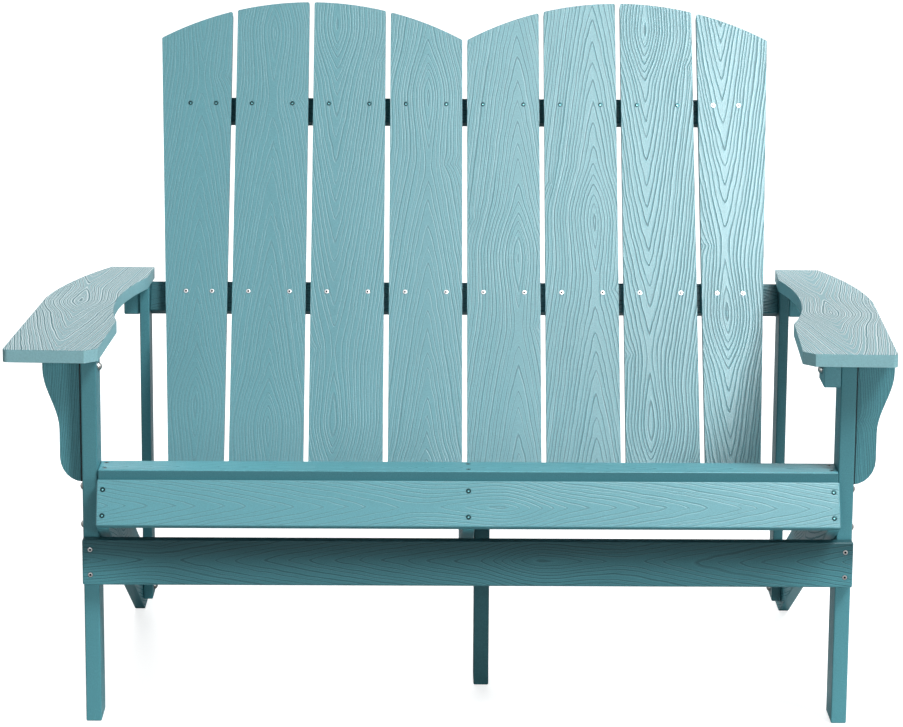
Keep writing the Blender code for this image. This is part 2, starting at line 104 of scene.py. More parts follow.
# Studio
WORLD_LIGHT = 0.08  # how much of the white surroundings' light falls on the bench
# Each soft box: name, place, what it points at, width and height, watts
SOFT_BOXES = (
    ("key", (3.3, -3.3, 6.75), (0.0, 0.1, 0.6), (2.4, 2.4), 465),
    ("fill_right", (2.6, -3.4, 1.0), (0.0, -0.3, 0.4), (1.2, 1.2), 34),
    ("fill_left", (-1.2, -4.4, 1.2), (0.0, -0.3, 0.4), (1.2, 1.2), 18),
)
# A lamp behind the bench that never shows as a reflection
BACK_LIGHT = ("back_light", (-1.2, 4.6, 2.6), (0.0, 0.3, 0.5), (2.4, 2.4), 150)
# Cards that only show as reflections
CARDS = (
    ("sheen_card", (1.0, -1.3, 2.4), (0.4, 0.1, 0.7), (0.9, 1.6), 80),
    ("rim_card", (0.5, 3.6, 1.7), (0.2, 0.0, 0.55), (4.0, 2.2), 32),
)
FLOOR_REACH = 30.0  # from the middle of the floor to its sides
FLOOR_NEAR, FLOOR_FAR = 0.7, 1.6  # how far from its middle it begins and ends to change
FLOOR_PALE, FLOOR_DIM = 0.45, 0.25  # what it reflects, near and far
FLOOR_GLOW = 0.8  # what it adds for the camera near the bench, where 1 is the white far from it

# Painted light and shade: how much lighter or darker each board is painted over plain lumber, darker where it
# lies in shade and lighter where the light falls on it
PAINTED_LIGHT_AND_SHADE = {
    "front_apron": 0.44,
    "centre_leg": 0.45,
    "upper_back_batten": 0.3,
    "lower_back_rail": 0.45,
    "armrest_left": 0.8,
    "armrest_right": 0.9,
    "arm_bracket_left": 1.15,
    "arm_bracket_right": 0.93,
    "seat_slat_1": 1.5,
    "seat_front_slat": 1.12,
    "rear_post_right": 0.55,
}
# Painted shade that fades from one side or end of a board to the other, by the start of the node's name: the
# apron darker at its top under the seat's shadow, the front legs darker at their tops under the armrests.
# Which of the board's axes it follows (0 across, 1 along), and the tone at the low and the high side
PAINTED_SHADE_FADES = {"front_apron": (0, 1.6, 0.55), "front_leg": (1, 1.15, 0.85)}
APRON_END_FROM, APRON_END_TO, APRON_END_LIGHT = 0.40, 0.54, 1.5  # painted light: the apron is lighter towards its ends, outside the seat's shadow
NOSE_SHADE = 0.5  # painted shade on the first seat slat's edges, over its top
CREVICE_FROM, CREVICE_TO, CREVICE_SHADE = 0.0034, 0.0042, 0.06  # painted shade where a bracket meets its leg

# How deep each board's grain is pressed, over the other boards'
RELIEF = {
    "seat_front_slat": 0.6,
    "back_slat_1": 0.3,
    "back_slat_2": 0.35,
    "back_slat_3": 0.5,
    "back_slat_4": 0.6,
    "back_slat_5": 0.8,
    "back_slat_7": 1.3,
    "back_slat_8": 1.2,
    "armrest_left": 1.3,
    "armrest_right": 1.3,
}
DARK_POWER = 0.6  # the painted shade in the lines grows by this power of their relief
# How far apart the lines lie on boards with a finer grain, over the other boards'
FINE = {"arm_bracket_left": 0.7, "arm_bracket_right": 0.7}

# The shader's specular level, and that of the boards that shine less, by the start of the node's name
SHINE = 0.65
DULL_BOARDS = {
    "armrest": 0.2,
    "front_apron": 0.25,
    "centre_leg": 0.2,
    "upper_back_batten": 0.05,
    "lower_back_rail": 0.15,
    "front_leg": 0.35,
    "rear_post": 0.3,
    "stringer": 0.2,
    "arm_bracket": 0.4,
    "rear_arm_block": 0.4,
    "seat_slat_1": 0.3,
}

# How many layers of finer noise lie on the first
OCTAVES, FEW_OCTAVES = 2.0, 1.0

# Steel
# The shaded steel is painted shade: the same steel as the bright one, darkened
BRIGHT, MIDDLE, SHADED_STEEL = (0.60, 0.62, 0.63), (0.36, 0.36, 0.35), (0.02, 0.05, 0.055)
BRIGHT_ABOVE = ("back_slat_8",)  # boards whose upper screws are bright too, not painted in shade
STEEL_SCALE = 900.0
STEEL_MOTTLE = 0.2
STEEL_ROUGHNESS = 0.32
STEEL_UNEVEN = 0.25  # how far the roughness varies
SOCKET_RIM, HEAD_RIM = 0.0002, 0.0003  # how wide the painted shade at the edges of the socket and the head is
SHADE_TONE = 0.02  # the tone of the painted shade over the steel's own
HIGHLIGHT_R, PAINTED_HIGHLIGHT = 0.0011, 14.0  # painted highlight: a shaded screw is lit only within this radius of its middle, and this much brighter there

# Plastic lumber
LUMBER_COLOUR = (0.094, 0.322, 0.374)
CLOUD, CLOUD_SCALE, CLOUD_ALONG = 0.10, 14.0, 0.25  # slow changes of tone, drawn out along the board
SPECKLE, SPECKLE_SCALE = 0.42, 600.0
ROUGHNESS = 0.38
SKIN_ROUGHNESS, GROOVE_ROUGHNESS = 0.1, 0.2  # how far the skin and the grooves change it
SKIN_SCALE = 900.0
SKIN_DEPTH = 0.00009

# The armrests' painted highlight on the grain's ridges, and their sawn edges, paler partly as painted sheen
LIP_HIGHLIGHT_COLOUR = (0.72, 0.84, 0.86)
LIP_HIGHLIGHT = {"armrest_left": 0.75, "armrest_right": 1.0}  # how much painted highlight shows on the grain's lips
# paler sawn cut, partly painted sheen
SAWN_AND_SHEEN_COLOUR = (0.29, 0.55, 0.60)
FIBRE, FIBRE_SCALE = 0.35, 350.0

# Where a broad face ends and its edge begins, as the cosine of the surface's turn away from that face
GRAIN_FROM, GRAIN_TO = 0.93, 0.995
SAWN_FROM, SAWN_TO = 0.3, 0.6
NOSE_FROM, NOSE_TO = 0.3, 0.8

# A line of the grain
GROOVE_DEPTH = 0.00023
GROOVE_CORE = 0.0003  # half width of a groove's floor
GROOVE_EDGE = 0.0012  # and of the whole groove
# painted shade in the grooves
GROOVE_SHADE = 0.32
LIP_EDGE = 0.0019  # half width over the raised lips beside the groove
LIP_HEIGHT = 0.22  # over the groove's depth
# painted highlight on the lips
LIP_LIGHT = 0.10
WORN_ACROSS, WORN_ALONG = 40.0, 8.0  # scale of the patches where the lines are worn
WORN_FROM, WORN_TO, WORN_LEAST = -0.3, 0.1, 0.7

# The figure that the lines draw
RING_SPACING = 0.0046
RING_UNEVEN = 0.9  # how far a line may stray, over the spacing
UNEVEN_SCALE, UNEVEN_ALONG = 0.8, 2.0
FIGURE_LENGTH = 0.65  # from one eye to the next along the board
SADDLE = 0.114  # from an eye back to the saddle behind it
SADDLE_BLEND = 0.014
EYE_SLOPE = 0.135  # spacing of the lines across the board over that along it
EYE_ROUND = 0.006
EYE_RISE = 0.013  # the lines crowd in front of an eye: how much higher the field climbs there
EYE_CROWD = 0.10  # and over what length
LINE_ROUND = 0.001
POINTED = 1.25  # 1 draws straight arrowheads, 2 draws ellipses
GRAIN_WANDER = 0.006  # how far the whole figure sways
SLOW_ACROSS, SLOW_ALONG = 12.0, 6.0
GRAIN_WOBBLE = 0.0026  # how far its lines waver
QUICK_ACROSS, QUICK_ALONG = 60.0, 28.0
LEAST_STEEP = 0.15  # lines on a flatter field than this grow no wider
# Side knots: where along the board from an eye, where across it the pull begins and is full, how far it pulls
KNOT = (-0.112, 0.010, 0.030, 0.010)
SMALL_KNOT = (0.064, 0.055, 0.068, 0.006)
KNOT_LENGTH = 0.011
KNOT_ROUND = 0.002

# Way the figure runs along the board (1 with the board's axis, -1 against it) and where an eye sits, across
# and along from the board's middle. On the brackets it is far to the side, so the lines run straight there.
FIGURES = {
    "back_slat_1": (1, 0.010, 0.415),
    "back_slat_2": (1, 0.002, 0.370),
    "back_slat_3": (-1, -0.020, 0.384),
    "back_slat_4": (1, 0.003, 0.271),
    "back_slat_5": (1, 0.022, 0.006),
    "back_slat_6": (1, 0.020, 0.058),
    "back_slat_7": (-1, -0.018, 0.378),
    "back_slat_8": (-1, -0.017, -0.086),
    "seat_front_slat": (-1, -0.005, -0.043),
    "front_apron": (1, 0.004, -0.106),
    "armrest_left": (-1, -0.007, 0.045),
    "armrest_right": (-1, -0.001, -0.020),
    "arm_bracket_left": (1, 0.400, 0.100),
    "arm_bracket_right": (1, -0.400, 0.080),
}
CHANCE_ACROSS, CHANCE_ALONG = 0.01, 0.3  # on the other boards the eye is by chance within these


def axes(across, along, out):
    """Rotation from a board's own axes (width, length, thickness) to the frame's."""
    return Matrix((across, along, out)).transposed().to_4x4()


X, Y, Z = Vector((1, 0, 0)), Vector((0, 1, 0)), Vector((0, 0, 1))
UP_BACK = Vector((0, math.sin(BACK_RECLINE), math.cos(BACK_RECLINE)))
DOWN_SEAT = Vector((0, math.cos(SEAT_SLOPE), -math.sin(SEAT_SLOPE)))
UP_NOSE = Vector((0, math.sin(SEAT_SLOPE), math.cos(SEAT_SLOPE)))

# How each kind of board is turned, by the start of its node's name: width, length and the face that shows
TURNS = {
    "back_slat": axes(X, UP_BACK, X.cross(UP_BACK)),
    "upper_back_batten": axes(UP_BACK, -X, X.cross(UP_BACK)),
    "lower_back_rail": axes(UP_BACK, -X, X.cross(UP_BACK)),
    "bottom_back_batten": axes(UP_BACK, -X, X.cross(UP_BACK)),
    "seat_front_slat": axes(UP_NOSE, -X, X.cross(UP_NOSE)),
    "seat_slat_1": axes(Y, -X, Z),
    "seat_slat": axes(DOWN_SEAT, -X, X.cross(DOWN_SEAT)),
    "front_apron": axes(Z, -X, -Y),
    "front_leg": axes(Y, Z, X),
    "rear_post": axes(Y, Z, X),
    "centre_leg": axes(Y, Z, X),
    "stringer": axes(UP_NOSE, DOWN_SEAT, -X),
    "armrest": axes(X, Y, Z),
    "arm_bracket": axes(X, Z, -Y),
    "rear_arm_block": axes(Y, Z, X),
    "front_arm_block": axes(Y, Z, X),
}


def turn_of(node):
    """The turn of the board with this name: the longest start of a name that fits."""
    return TURNS[max((start for start in TURNS if node.startswith(start)), key=len)]


def extent(node, turn):
    """Lowest and highest corner of a CAD node, along the axes of `turn`."""
    inverse = turn.inverted()
    points = [inverse @ v.co for v in frame["nodes"][node].data.vertices]
    low = Vector([min(p[i] for p in points) for i in range(3)])
    high = Vector([max(p[i] for p in points) for i in range(3)])
    return low, high


def middle(node, turn):
    """Middle of a CAD node's extent, along the axes of `turn`."""
    low, high = extent(node, turn)
    return (low + high) / 2


def screw_places():
    """For each board that holds screws: points on its showing face, in the board's own axes."""
    places = {}
    back = TURNS["back_slat"]
    rows = (
        middle("upper_back_batten", back).y + BATTEN_SCREW_RISE,
        middle("lower_back_rail", back).y + RAIL_SCREW_RISE,
        middle("bottom_back_batten", back).y,
    )
    for number in range(1, BACK_SLATS + 1):
        node = f"back_slat_{number}"
        low, high = extent(node, back)
        centre, half = (low.x + high.x) / 2, SLAT_SCREWS / 2
        if number == 1:
            centre, half = high.x - OUTER_SLAT_PAIR, OUTER_SLAT_SCREWS / 2
        if number == BACK_SLATS:
            centre, half = low.x + OUTER_SLAT_PAIR, OUTER_SLAT_SCREWS / 2
        places[node] = [Vector((centre + s * half, row, high.z)) for row in rows for s in (-1, 1)]
    legs = [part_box(f"front_leg_{side}") for side in ("left", "right")]
    stringers = [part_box(f"stringer_{side}") for side in ("left", "centre", "right")]
    leg_x = [(low.x + high.x) / 2 for low, high in legs]
    stringer_x = [(low.x + high.x) / 2 for low, high in stringers]
    rows = [("front_apron", leg_x, APRON_SCREWS), ("seat_front_slat", stringer_x, FRONT_SLAT_SCREWS)]
    rows += [(f"seat_slat_{number}", stringer_x, SEAT_SCREWS) for number in range(1, SEAT_SLATS + 1)]
    for node, columns, apart in rows:
        low, high = extent(node, turn_of(node))
        centre = (low.x + high.x) / 2
        places[node] = [Vector((centre + s * apart / 2, -x, high.z)) for x in columns for s in (-1, 1)]
    return places


def mesh_object(name, build):
    """A new object whose mesh is filled by `build`, which is handed the bmesh."""
    mesh = bpy.data.meshes.new(name)
    shape = bmesh.new()
    build(shape)
    shape.to_mesh(mesh)
    shape.free()
    obj = bpy.data.objects.new(name, mesh)
    bpy.context.scene.collection.objects.link(obj)
    return obj


def cut(obj, cutter):
    """Takes the cutter's volume out of the object and removes the cutter."""
    modifier = obj.modifiers.new("cut", "BOOLEAN")
    modifier.operation = "DIFFERENCE"
    modifier.solver = "EXACT"
    modifier.object = cutter
    bpy.context.view_layer.update()
    graph = bpy.context.evaluated_depsgraph_get()
    mesh = bpy.data.meshes.new_from_object(obj.evaluated_get(graph))
    obj.modifiers.clear()
    obj.data = mesh
    bpy.data.objects.remove(cutter)


def add_rod(shape, place, radius, low, high, sides):
    """A closed rod along the local Z of `place`, between two heights."""
    matrix = place @ Matrix.Translation((0, 0, (low + high) / 2))
    bmesh.ops.create_cone(
        shape, cap_ends=True, segments=sides, radius1=radius, radius2=radius, depth=high - low, matrix=matrix
    )


def smooth(obj):
    """Smooth shading that keeps flat faces flat and sharp edges sharp."""
    obj.data.shade_smooth()
    obj.data.set_sharp_from_angle(angle=SMOOTH_ANGLE)
    weighted = obj.modifiers.new("weighted normals", "WEIGHTED_NORMAL")
    weighted.keep_sharp = True
    weighted.weight = NORMAL_WEIGHT


def dressed_board(node, screws):
    """A copy of the CAD board with round-shaded edges and a pocket for each screw; it replaces the node."""

    def board(shape):
        shape.from_mesh(frame["nodes"][node].data)
        bmesh.ops.remove_doubles(shape, verts=shape.verts, dist=WELD)
        bmesh.ops.recalc_face_normals(shape, faces=shape.faces)
        folds = [edge for edge in shape.edges if edge.calc_face_angle(0) > math.pi - FLAT_ANGLE]
        bmesh.ops.dissolve_edges(shape, edges=folds)
        bmesh.ops.recalc_face_normals(shape, faces=shape.faces)
        bmesh.ops.dissolve_limit(shape, angle_limit=FLAT_ANGLE, verts=shape.verts, edges=shape.edges)

    def pockets(shape):
        for place in screws:
            add_rod(shape, place, HEAD_R + POCKET_PLAY, -POCKET_DEPTH, OVERRUN, HEAD_SIDES)

    obj = mesh_object(node + "_board", board)
    if screws:
        cut(obj, mesh_object(node + "_pockets", pockets))
    smooth(obj)
    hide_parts(node)
    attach(obj, "root")
    return obj


def screw_head():
    """A countersunk head with a crowned top and a six-sided socket; its rim lies on Z = 0."""
    crown = (HEAD_R**2 + HEAD_CROWN**2) / (2 * HEAD_CROWN)

    def head(shape):
        radii = [HEAD_R * i / CROWN_RINGS for i in range(CROWN_RINGS + 1)]
        profile = [(r, math.sqrt(crown**2 - r**2) - crown + HEAD_CROWN) for r in radii]
        profile += [(HEAD_R, -HEAD_T), (0, -HEAD_T)]
        points = [shape.verts.new((r, 0, z)) for r, z in profile]
        edges = [shape.edges.new(pair) for pair in zip(points, points[1:])]
        bmesh.ops.spin(
            shape, geom=points + edges, axis=(0, 0, 1), cent=(0, 0, 0), steps=HEAD_SIDES, angle=math.tau
        )
        bmesh.ops.remove_doubles(shape, verts=shape.verts, dist=WELD)
        bmesh.ops.recalc_face_normals(shape, faces=shape.faces)

    def socket(shape):
        add_rod(shape, Matrix.Identity(4), SOCKET_R, -SOCKET_DEPTH, OVERRUN, SOCKET_SIDES)

    obj = mesh_object("screw", head)
    cut(obj, mesh_object("socket", socket))
    mesh = obj.data
    mesh.shade_smooth()
    mesh.set_sharp_from_angle(angle=HEAD_SMOOTH_ANGLE)
    bpy.data.objects.remove(obj)
    return mesh


def add_screws(places):
    """Puts a head into each pocket, each with its socket turned another way.

    The seat's screws and the upper pair of most back slats are painted in shade, dark with a painted
    highlight in the middle, and the others are bright.
    """
    bright = screw_head()
    shaded_head = bright.copy()
    bright.materials.append(steel("bright screw steel", BRIGHT, "socket"))
    shaded_head.materials.append(steel("dull screw steel", SHADED_STEEL, "ring"))
    sunk = Matrix.Translation((0, 0, -HEAD_SINK))
    chance = random.Random(SOCKET_SEED)
    for node, matrices in places.items():
        for number, place in enumerate(matrices):
            # painted shade on the seat's screws and on most back slats' upper pairs
            upper = node.startswith("back_slat") and number < PAIR and node not in BRIGHT_ABOVE
            head = shaded_head if upper or node.startswith("seat") else bright
            obj = bpy.data.objects.new(f"{node}_screw_{number + 1}", head)
            bpy.context.scene.collection.objects.link(obj)
            turned = Matrix.Rotation(chance.uniform(0, math.pi / 2), 4, "Z")
            obj.matrix_world = place @ sunk @ turned
            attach(obj, "root")


class Nodes:
    """Short calls for building a node tree: every call adds a node and hands back its output socket."""

    def __init__(self, tree):
        self.tree = tree

    def node(self, kind, **settings):
        """The new node itself."""
        made = self.tree.nodes.new(kind)
        for key, value in settings.items():
            setattr(made, key, value)
        return made

    def feed(self, socket, value):
        """Links a socket to an output, or sets it to a plain value."""
        if isinstance(value, bpy.types.NodeSocket):
            self.tree.links.new(value, socket)
        else:
            socket.default_value = value

    def math(self, operation, *values):
        made = self.node("ShaderNodeMath", operation=operation)
        for socket, value in zip(made.inputs, values):
            self.feed(socket, value)
        return made.outputs[0]

    def add(self, a, b):
        return self.math("ADD", a, b)

    def sub(self, a, b):
        return self.math("SUBTRACT", a, b)

    def mul(self, a, b):
        return self.math("MULTIPLY", a, b)

    def soft_size(self, value, least):
        """The size of a value without its sign, rounded off below `least`."""
        return self.math("SQRT", self.add(self.mul(value, value), least**2))

    def smooth_step(self, value, low, high, start=0.0, end=1.0):
        """Goes smoothly from `start` to `end` while the value goes from `low` to `high`."""
        made = self.node("ShaderNodeMapRange", interpolation_type="SMOOTHSTEP")
        names = ("Value", "From Min", "From Max", "To Min", "To Max")
        for name, given in zip(names, (value, low, high, start, end)):
            self.feed(made.inputs[name], given)
        return made.outputs["Result"]

    def point(self, x, y, z):
        made = self.node("ShaderNodeCombineXYZ")
        for socket, value in zip(made.inputs, (x, y, z)):
            self.feed(socket, value)
        return made.outputs[0]

    def parts(self, vector):
        made = self.node("ShaderNodeSeparateXYZ")
        self.feed(made.inputs[0], vector)
        return made.outputs

    def dot(self, vector, axis):
        made = self.node("ShaderNodeVectorMath", operation="DOT_PRODUCT")
        self.feed(made.inputs[0], vector)
        self.feed(made.inputs[1], axis)
        return made.outputs["Value"]

    def scaled(self, colour, tone):
        made = self.node("ShaderNodeVectorMath", operation="SCALE")
        self.feed(made.inputs[0], colour)
        self.feed(made.inputs["Scale"], tone)
        return made.outputs[0]

    def mix(self, factor, a, b):
        """Colour `a` where the factor is 0 and `b` where it is 1."""
        made = self.node("ShaderNodeMix", data_type="RGBA")
        self.feed(made.inputs["Factor"], factor)
        self.feed(made.inputs["A"], a)
        self.feed(made.inputs["B"], b)
        return made.outputs["Result"]

    def noise(self, vector, scale=1.0, detail=0.0):
        """Smooth noise about zero, from about -0.5 to 0.5."""
        made = self.node("ShaderNodeTexNoise", noise_dimensions="3D")
        self.feed(made.inputs["Vector"], vector)
        self.feed(made.inputs["Scale"], scale)
        self.feed(made.inputs["Detail"], detail)
        return self.sub(made.outputs["Fac"], 0.5)

    def bump(self, height, distance, normal=None):
        made = self.node("ShaderNodeBump")
        self.feed(made.inputs["Height"], height)
        self.feed(made.inputs["Distance"], distance)
        if normal is not None:
            self.feed(made.inputs["Normal"], normal)
        return made.outputs["Normal"]


def grain_group():
    """The grain that every board's mould carries.

    In: a place on the board's face, counted from an eye of the figure, and the board's number. The grain
    lines are contours around a row of eyes. From an eye a long row of nested arrowheads runs up to the
    next saddle, and beyond the saddle stands the next eye; a side knot pinches the lines at each saddle.
    Out: how deep the groove is, and how high the lips beside it stand, each 0 to 1.
    """
    group = bpy.data.node_groups.new("moulded grain", "ShaderNodeTree")
    group.interface.new_socket(name="Place", in_out="INPUT", socket_type="NodeSocketVector")
    for name in ("Groove", "Lip"):
        group.interface.new_socket(name=name, in_out="OUTPUT", socket_type="NodeSocketFloat")
    n = Nodes(group)
    across, along, seed = n.parts(n.node("NodeGroupInput").outputs["Place"])
    slow = n.point(n.mul(across, SLOW_ACROSS), n.mul(along, SLOW_ALONG), seed)
    quick = n.point(n.mul(across, QUICK_ACROSS), n.mul(along, QUICK_ALONG), seed)
    side = n.add(across, n.mul(n.noise(slow), GRAIN_WANDER))
    side = n.add(side, knot_pinch(n, side, along, *KNOT))
    side = n.sub(side, knot_pinch(n, n.mul(side, -1.0), along, *SMALL_KNOT))
    side = n.soft_size(side, LINE_ROUND)

    level = EYE_SLOPE * (FIGURE_LENGTH - 2 * SADDLE) + EYE_RISE
    field, steep = ring_field(n, side, along, 0)
    for place in (-1, 1):
        other, other_steep = ring_field(n, side, along, place * FIGURE_LENGTH)
        other = n.add(other, place * level)
        near = n.smooth_step(n.sub(field, other), -SADDLE_BLEND, SADDLE_BLEND)
        steep = n.add(steep, n.mul(near, n.sub(other_steep, steep)))
        field = n.math("SMOOTH_MIN", field, other, SADDLE_BLEND)

    field = n.add(field, n.mul(n.noise(quick, detail=FEW_OCTAVES), GRAIN_WOBBLE))
    rings = n.math("DIVIDE", field, RING_SPACING)
    uneven = n.noise(n.point(rings, seed, n.mul(along, UNEVEN_ALONG)), UNEVEN_SCALE)
    rings = n.add(rings, n.mul(uneven, RING_UNEVEN))
    apart = n.math("ABSOLUTE", n.sub(n.math("FRACT", rings), 0.5))
    reach = n.math("DIVIDE", n.mul(apart, RING_SPACING), n.math("MAXIMUM", steep, LEAST_STEEP))
    groove = n.smooth_step(reach, GROOVE_CORE, GROOVE_EDGE, 1.0, 0.0)
    lip = n.sub(n.smooth_step(reach, GROOVE_EDGE, LIP_EDGE, 1.0, 0.0), groove)
    worn = n.noise(n.point(n.mul(across, WORN_ACROSS), n.mul(along, WORN_ALONG), rings))
    worn = n.smooth_step(worn, WORN_FROM, WORN_TO, WORN_LEAST, 1.0)
    out = n.node("NodeGroupOutput")
    n.feed(out.inputs["Groove"], n.mul(groove, worn))
    n.feed(out.inputs["Lip"], n.mul(lip, worn))
    return group


def ring_field(n, side, along, place):
    """Distance to an eye, squeezed along the board and pointed at both ends, and how steeply it rises."""
    off = n.sub(along, place)
    crowd = n.smooth_step(off, 0.0, EYE_CROWD, 0.0, EYE_RISE)
    depth = n.add(n.mul(n.soft_size(off, EYE_ROUND), EYE_SLOPE), crowd)
    total = n.add(n.math("POWER", side, POINTED), n.math("POWER", depth, POINTED))
    field = n.math("POWER", total, 1 / POINTED)
    leans = [n.math("POWER", n.math("DIVIDE", part, field), POINTED - 1) for part in (side, depth)]
    leans[1] = n.mul(leans[1], EYE_SLOPE)
    steep = n.math("SQRT", n.add(n.mul(leans[0], leans[0]), n.mul(leans[1], leans[1])))
    return field, steep


def knot_pinch(n, side, along, place, start, end, pull):
    """How far a knot pushes the lines inwards: a cusp along the board, felt only beyond `start`."""
    turns = n.math("DIVIDE", n.sub(along, place), FIGURE_LENGTH)
    off = n.mul(n.sub(n.math("FRACT", n.add(turns, 0.5)), 0.5), FIGURE_LENGTH)
    cusp = n.math("EXPONENT", n.math("DIVIDE", n.soft_size(off, KNOT_ROUND), -KNOT_LENGTH))
    return n.mul(n.mul(cusp, pull), n.smooth_step(side, start, end))


def new_material(name):
    """A material, its shader and the short calls for its node tree."""
    material = bpy.data.materials.new(name)
    material.use_nodes = True
    return material, material.node_tree.nodes["Principled BSDF"], Nodes(material.node_tree)


def steel(name, colour, painted_shade=None):
    """Finely mottled stainless steel.

    With "socket" for the last argument, a screw's socket and rim are painted in shade; with "ring", all of it
    but the middle is, and the middle gets a painted highlight.
    """
    material, shader, n = new_material(name)
    place = n.node("ShaderNodeTexCoord").outputs["Object"]
    mottle = n.noise(place, STEEL_SCALE, OCTAVES)
    tone = n.add(n.mul(mottle, STEEL_MOTTLE), 1.0)
    if painted_shade:
        x, y, _ = n.parts(place)
        radius = n.math("SQRT", n.add(n.mul(x, x), n.mul(y, y)))
    # painted shade in the socket and at the head's rim
    if painted_shade == "socket":
        tone = n.mul(tone, n.smooth_step(radius, SOCKET_R, SOCKET_R + SOCKET_RIM, SHADE_TONE, 1.0))
        tone = n.mul(tone, n.smooth_step(radius, HEAD_R - HEAD_RIM, HEAD_R, 1.0, SHADE_TONE))
    # painted shade over all the head but its middle, which gets a painted highlight
    if painted_shade == "ring":
        tone = n.mul(tone, n.smooth_step(radius, HIGHLIGHT_R, HIGHLIGHT_R + SOCKET_RIM, PAINTED_HIGHLIGHT, 1.0))
    shader.inputs["Metallic"].default_value = 1.0
    n.feed(shader.inputs["Base Color"], n.scaled(colour, tone))
    n.feed(shader.inputs["Roughness"], n.add(n.mul(mottle, STEEL_UNEVEN), STEEL_ROUGHNESS))
    return material


def shine_of(node):
    """How much the board shines, by the start of its node's name."""
    return next((shine for start, shine in DULL_BOARDS.items() if node.startswith(start)), SHINE)


def lumber(node, turn, group, number):
    """The board's plastic: grain pressed into its broad faces, smooth edges, a fine sandblasted skin; painted
    shade in the grooves, painted highlight on the lips, and painted light and shade over some boards.
    """
    material, shader, n = new_material("lumber " + node)
    coords = n.node("ShaderNodeTexCoord").outputs
    low, high = extent(node, turn)
    centre, half = (low + high) / 2, (high - low) / 2
    wide, long, out = (turn.to_3x3().col[i] for i in range(3))
    across = n.sub(n.dot(coords["Object"], wide), centre.x)
    along = n.sub(n.dot(coords["Object"], long), centre.y)
    facing = n.math("ABSOLUTE", n.dot(coords["Normal"], out))
    broad = n.smooth_step(facing, GRAIN_FROM, GRAIN_TO)
    groove, lip = (n.mul(part, broad) for part in grain_on(n, node, group, number, across, along))

    skin = n.noise(coords["Object"], SKIN_SCALE, OCTAVES)
    relief = RELIEF.get(node, 1.0)
    height = n.sub(n.mul(lip, LIP_HEIGHT), groove)
    n.feed(shader.inputs["Normal"], n.bump(height, GROOVE_DEPTH * relief, n.bump(skin, SKIN_DEPTH)))
    shader.inputs["Specular IOR Level"].default_value = shine_of(node)
    rough = n.add(n.mul(skin, SKIN_ROUGHNESS), ROUGHNESS)
    n.feed(shader.inputs["Roughness"], n.add(n.mul(groove, GROOVE_ROUGHNESS), rough))

    cloudy = n.noise(n.point(across, n.mul(along, CLOUD_ALONG), number), CLOUD_SCALE, OCTAVES)
    speckle = n.noise(coords["Object"], SPECKLE_SCALE, FEW_OCTAVES)
    tone = n.add(n.mul(cloudy, CLOUD), n.mul(speckle, SPECKLE))
    # painted shade in the grooves and painted highlight on the lips
    tone = n.add(tone, n.sub(1.0, n.mul(groove, GROOVE_SHADE * relief**DARK_POWER)))
    tone = n.add(tone, n.mul(lip, LIP_LIGHT * relief))
    # each board's painted light and shade
    tone = n.mul(tone, PAINTED_LIGHT_AND_SHADE.get(node, 1.0))
    for change in painted_tone_changes(n, node, half, across, along, facing):
        tone = n.mul(tone, change)
    colour = n.scaled(LUMBER_COLOUR, tone)
    if node.startswith("armrest"):
        # painted highlight on the armrests' lips; their sawn edges paler, partly as painted sheen
        colour = n.mix(n.mul(lip, LIP_HIGHLIGHT[node]), colour, (*LIP_HIGHLIGHT_COLOUR, 1.0))
        colour = sawn_and_sheen_edges(n, coords["Object"], facing, colour)
    n.feed(shader.inputs["Base Color"], colour)
    return material


def grain_on(n, node, group, number, across, along):
    """The grain's groove and lip at a place on the board, whose figure is listed or else by chance."""
    chance = random.Random(number)
    by_chance = (
        chance.choice((1, -1)),
        chance.uniform(-CHANCE_ACROSS, CHANCE_ACROSS),
        chance.uniform(-CHANCE_ALONG, CHANCE_ALONG),
    )
    way, eye_across, eye_along = FIGURES.get(node, by_chance)
    scale = way / FINE.get(node, 1.0)
    from_eye = n.mul(n.sub(across, eye_across), scale), n.mul(n.sub(along, eye_along), scale)
    grain = n.node("ShaderNodeGroup", node_tree=group)
    n.feed(grain.inputs["Place"], n.point(*from_eye, number))
    return grain.outputs["Groove"], grain.outputs["Lip"]


def painted_tone_changes(n, node, half, across, along, facing):
    """The painted light and shade that make this board lighter or darker in some places; `half` is half its
    size along each axis.
    """
    # painted shade that fades across or along the board
    for start, (axis, at_low, at_high) in PAINTED_SHADE_FADES.items():
        if node.startswith(start):
            yield n.smooth_step((across, along)[axis], -half[axis], half[axis], at_low, at_high)
    # painted shade on the first seat slat's nose
    if node == "seat_slat_1":
        yield n.smooth_step(facing, NOSE_FROM, NOSE_TO, NOSE_SHADE, 1.0)
    # painted light towards the apron's ends
    if node == "front_apron":
        from_middle = n.math("ABSOLUTE", along)
        yield n.smooth_step(from_middle, APRON_END_FROM, APRON_END_TO, 1.0, APRON_END_LIGHT)
    # painted shade along the bracket's edge beside the leg
    if node.startswith("arm_bracket"):
        inner_edge = half.x if node.endswith("left") else -half.x
        gap = n.math("ABSOLUTE", n.sub(across, inner_edge))
        yield n.smooth_step(gap, CREVICE_FROM, CREVICE_TO, CREVICE_SHADE, 1.0)


def sawn_and_sheen_edges(n, place, facing, face_colour):
    """The armrests' edges show the saw's fibrous, paler cut, paler partly as painted sheen."""
    x, y, z = n.parts(place)
    fibre = n.noise(n.point(n.add(x, z), y, n.sub(z, x)), FIBRE_SCALE, OCTAVES)
    pale = n.scaled(SAWN_AND_SHEEN_COLOUR, n.add(n.mul(fibre, FIBRE), 1.0))
    return n.mix(n.smooth_step(facing, SAWN_FROM, SAWN_TO, 1.0, 0.0), face_colour, pale)


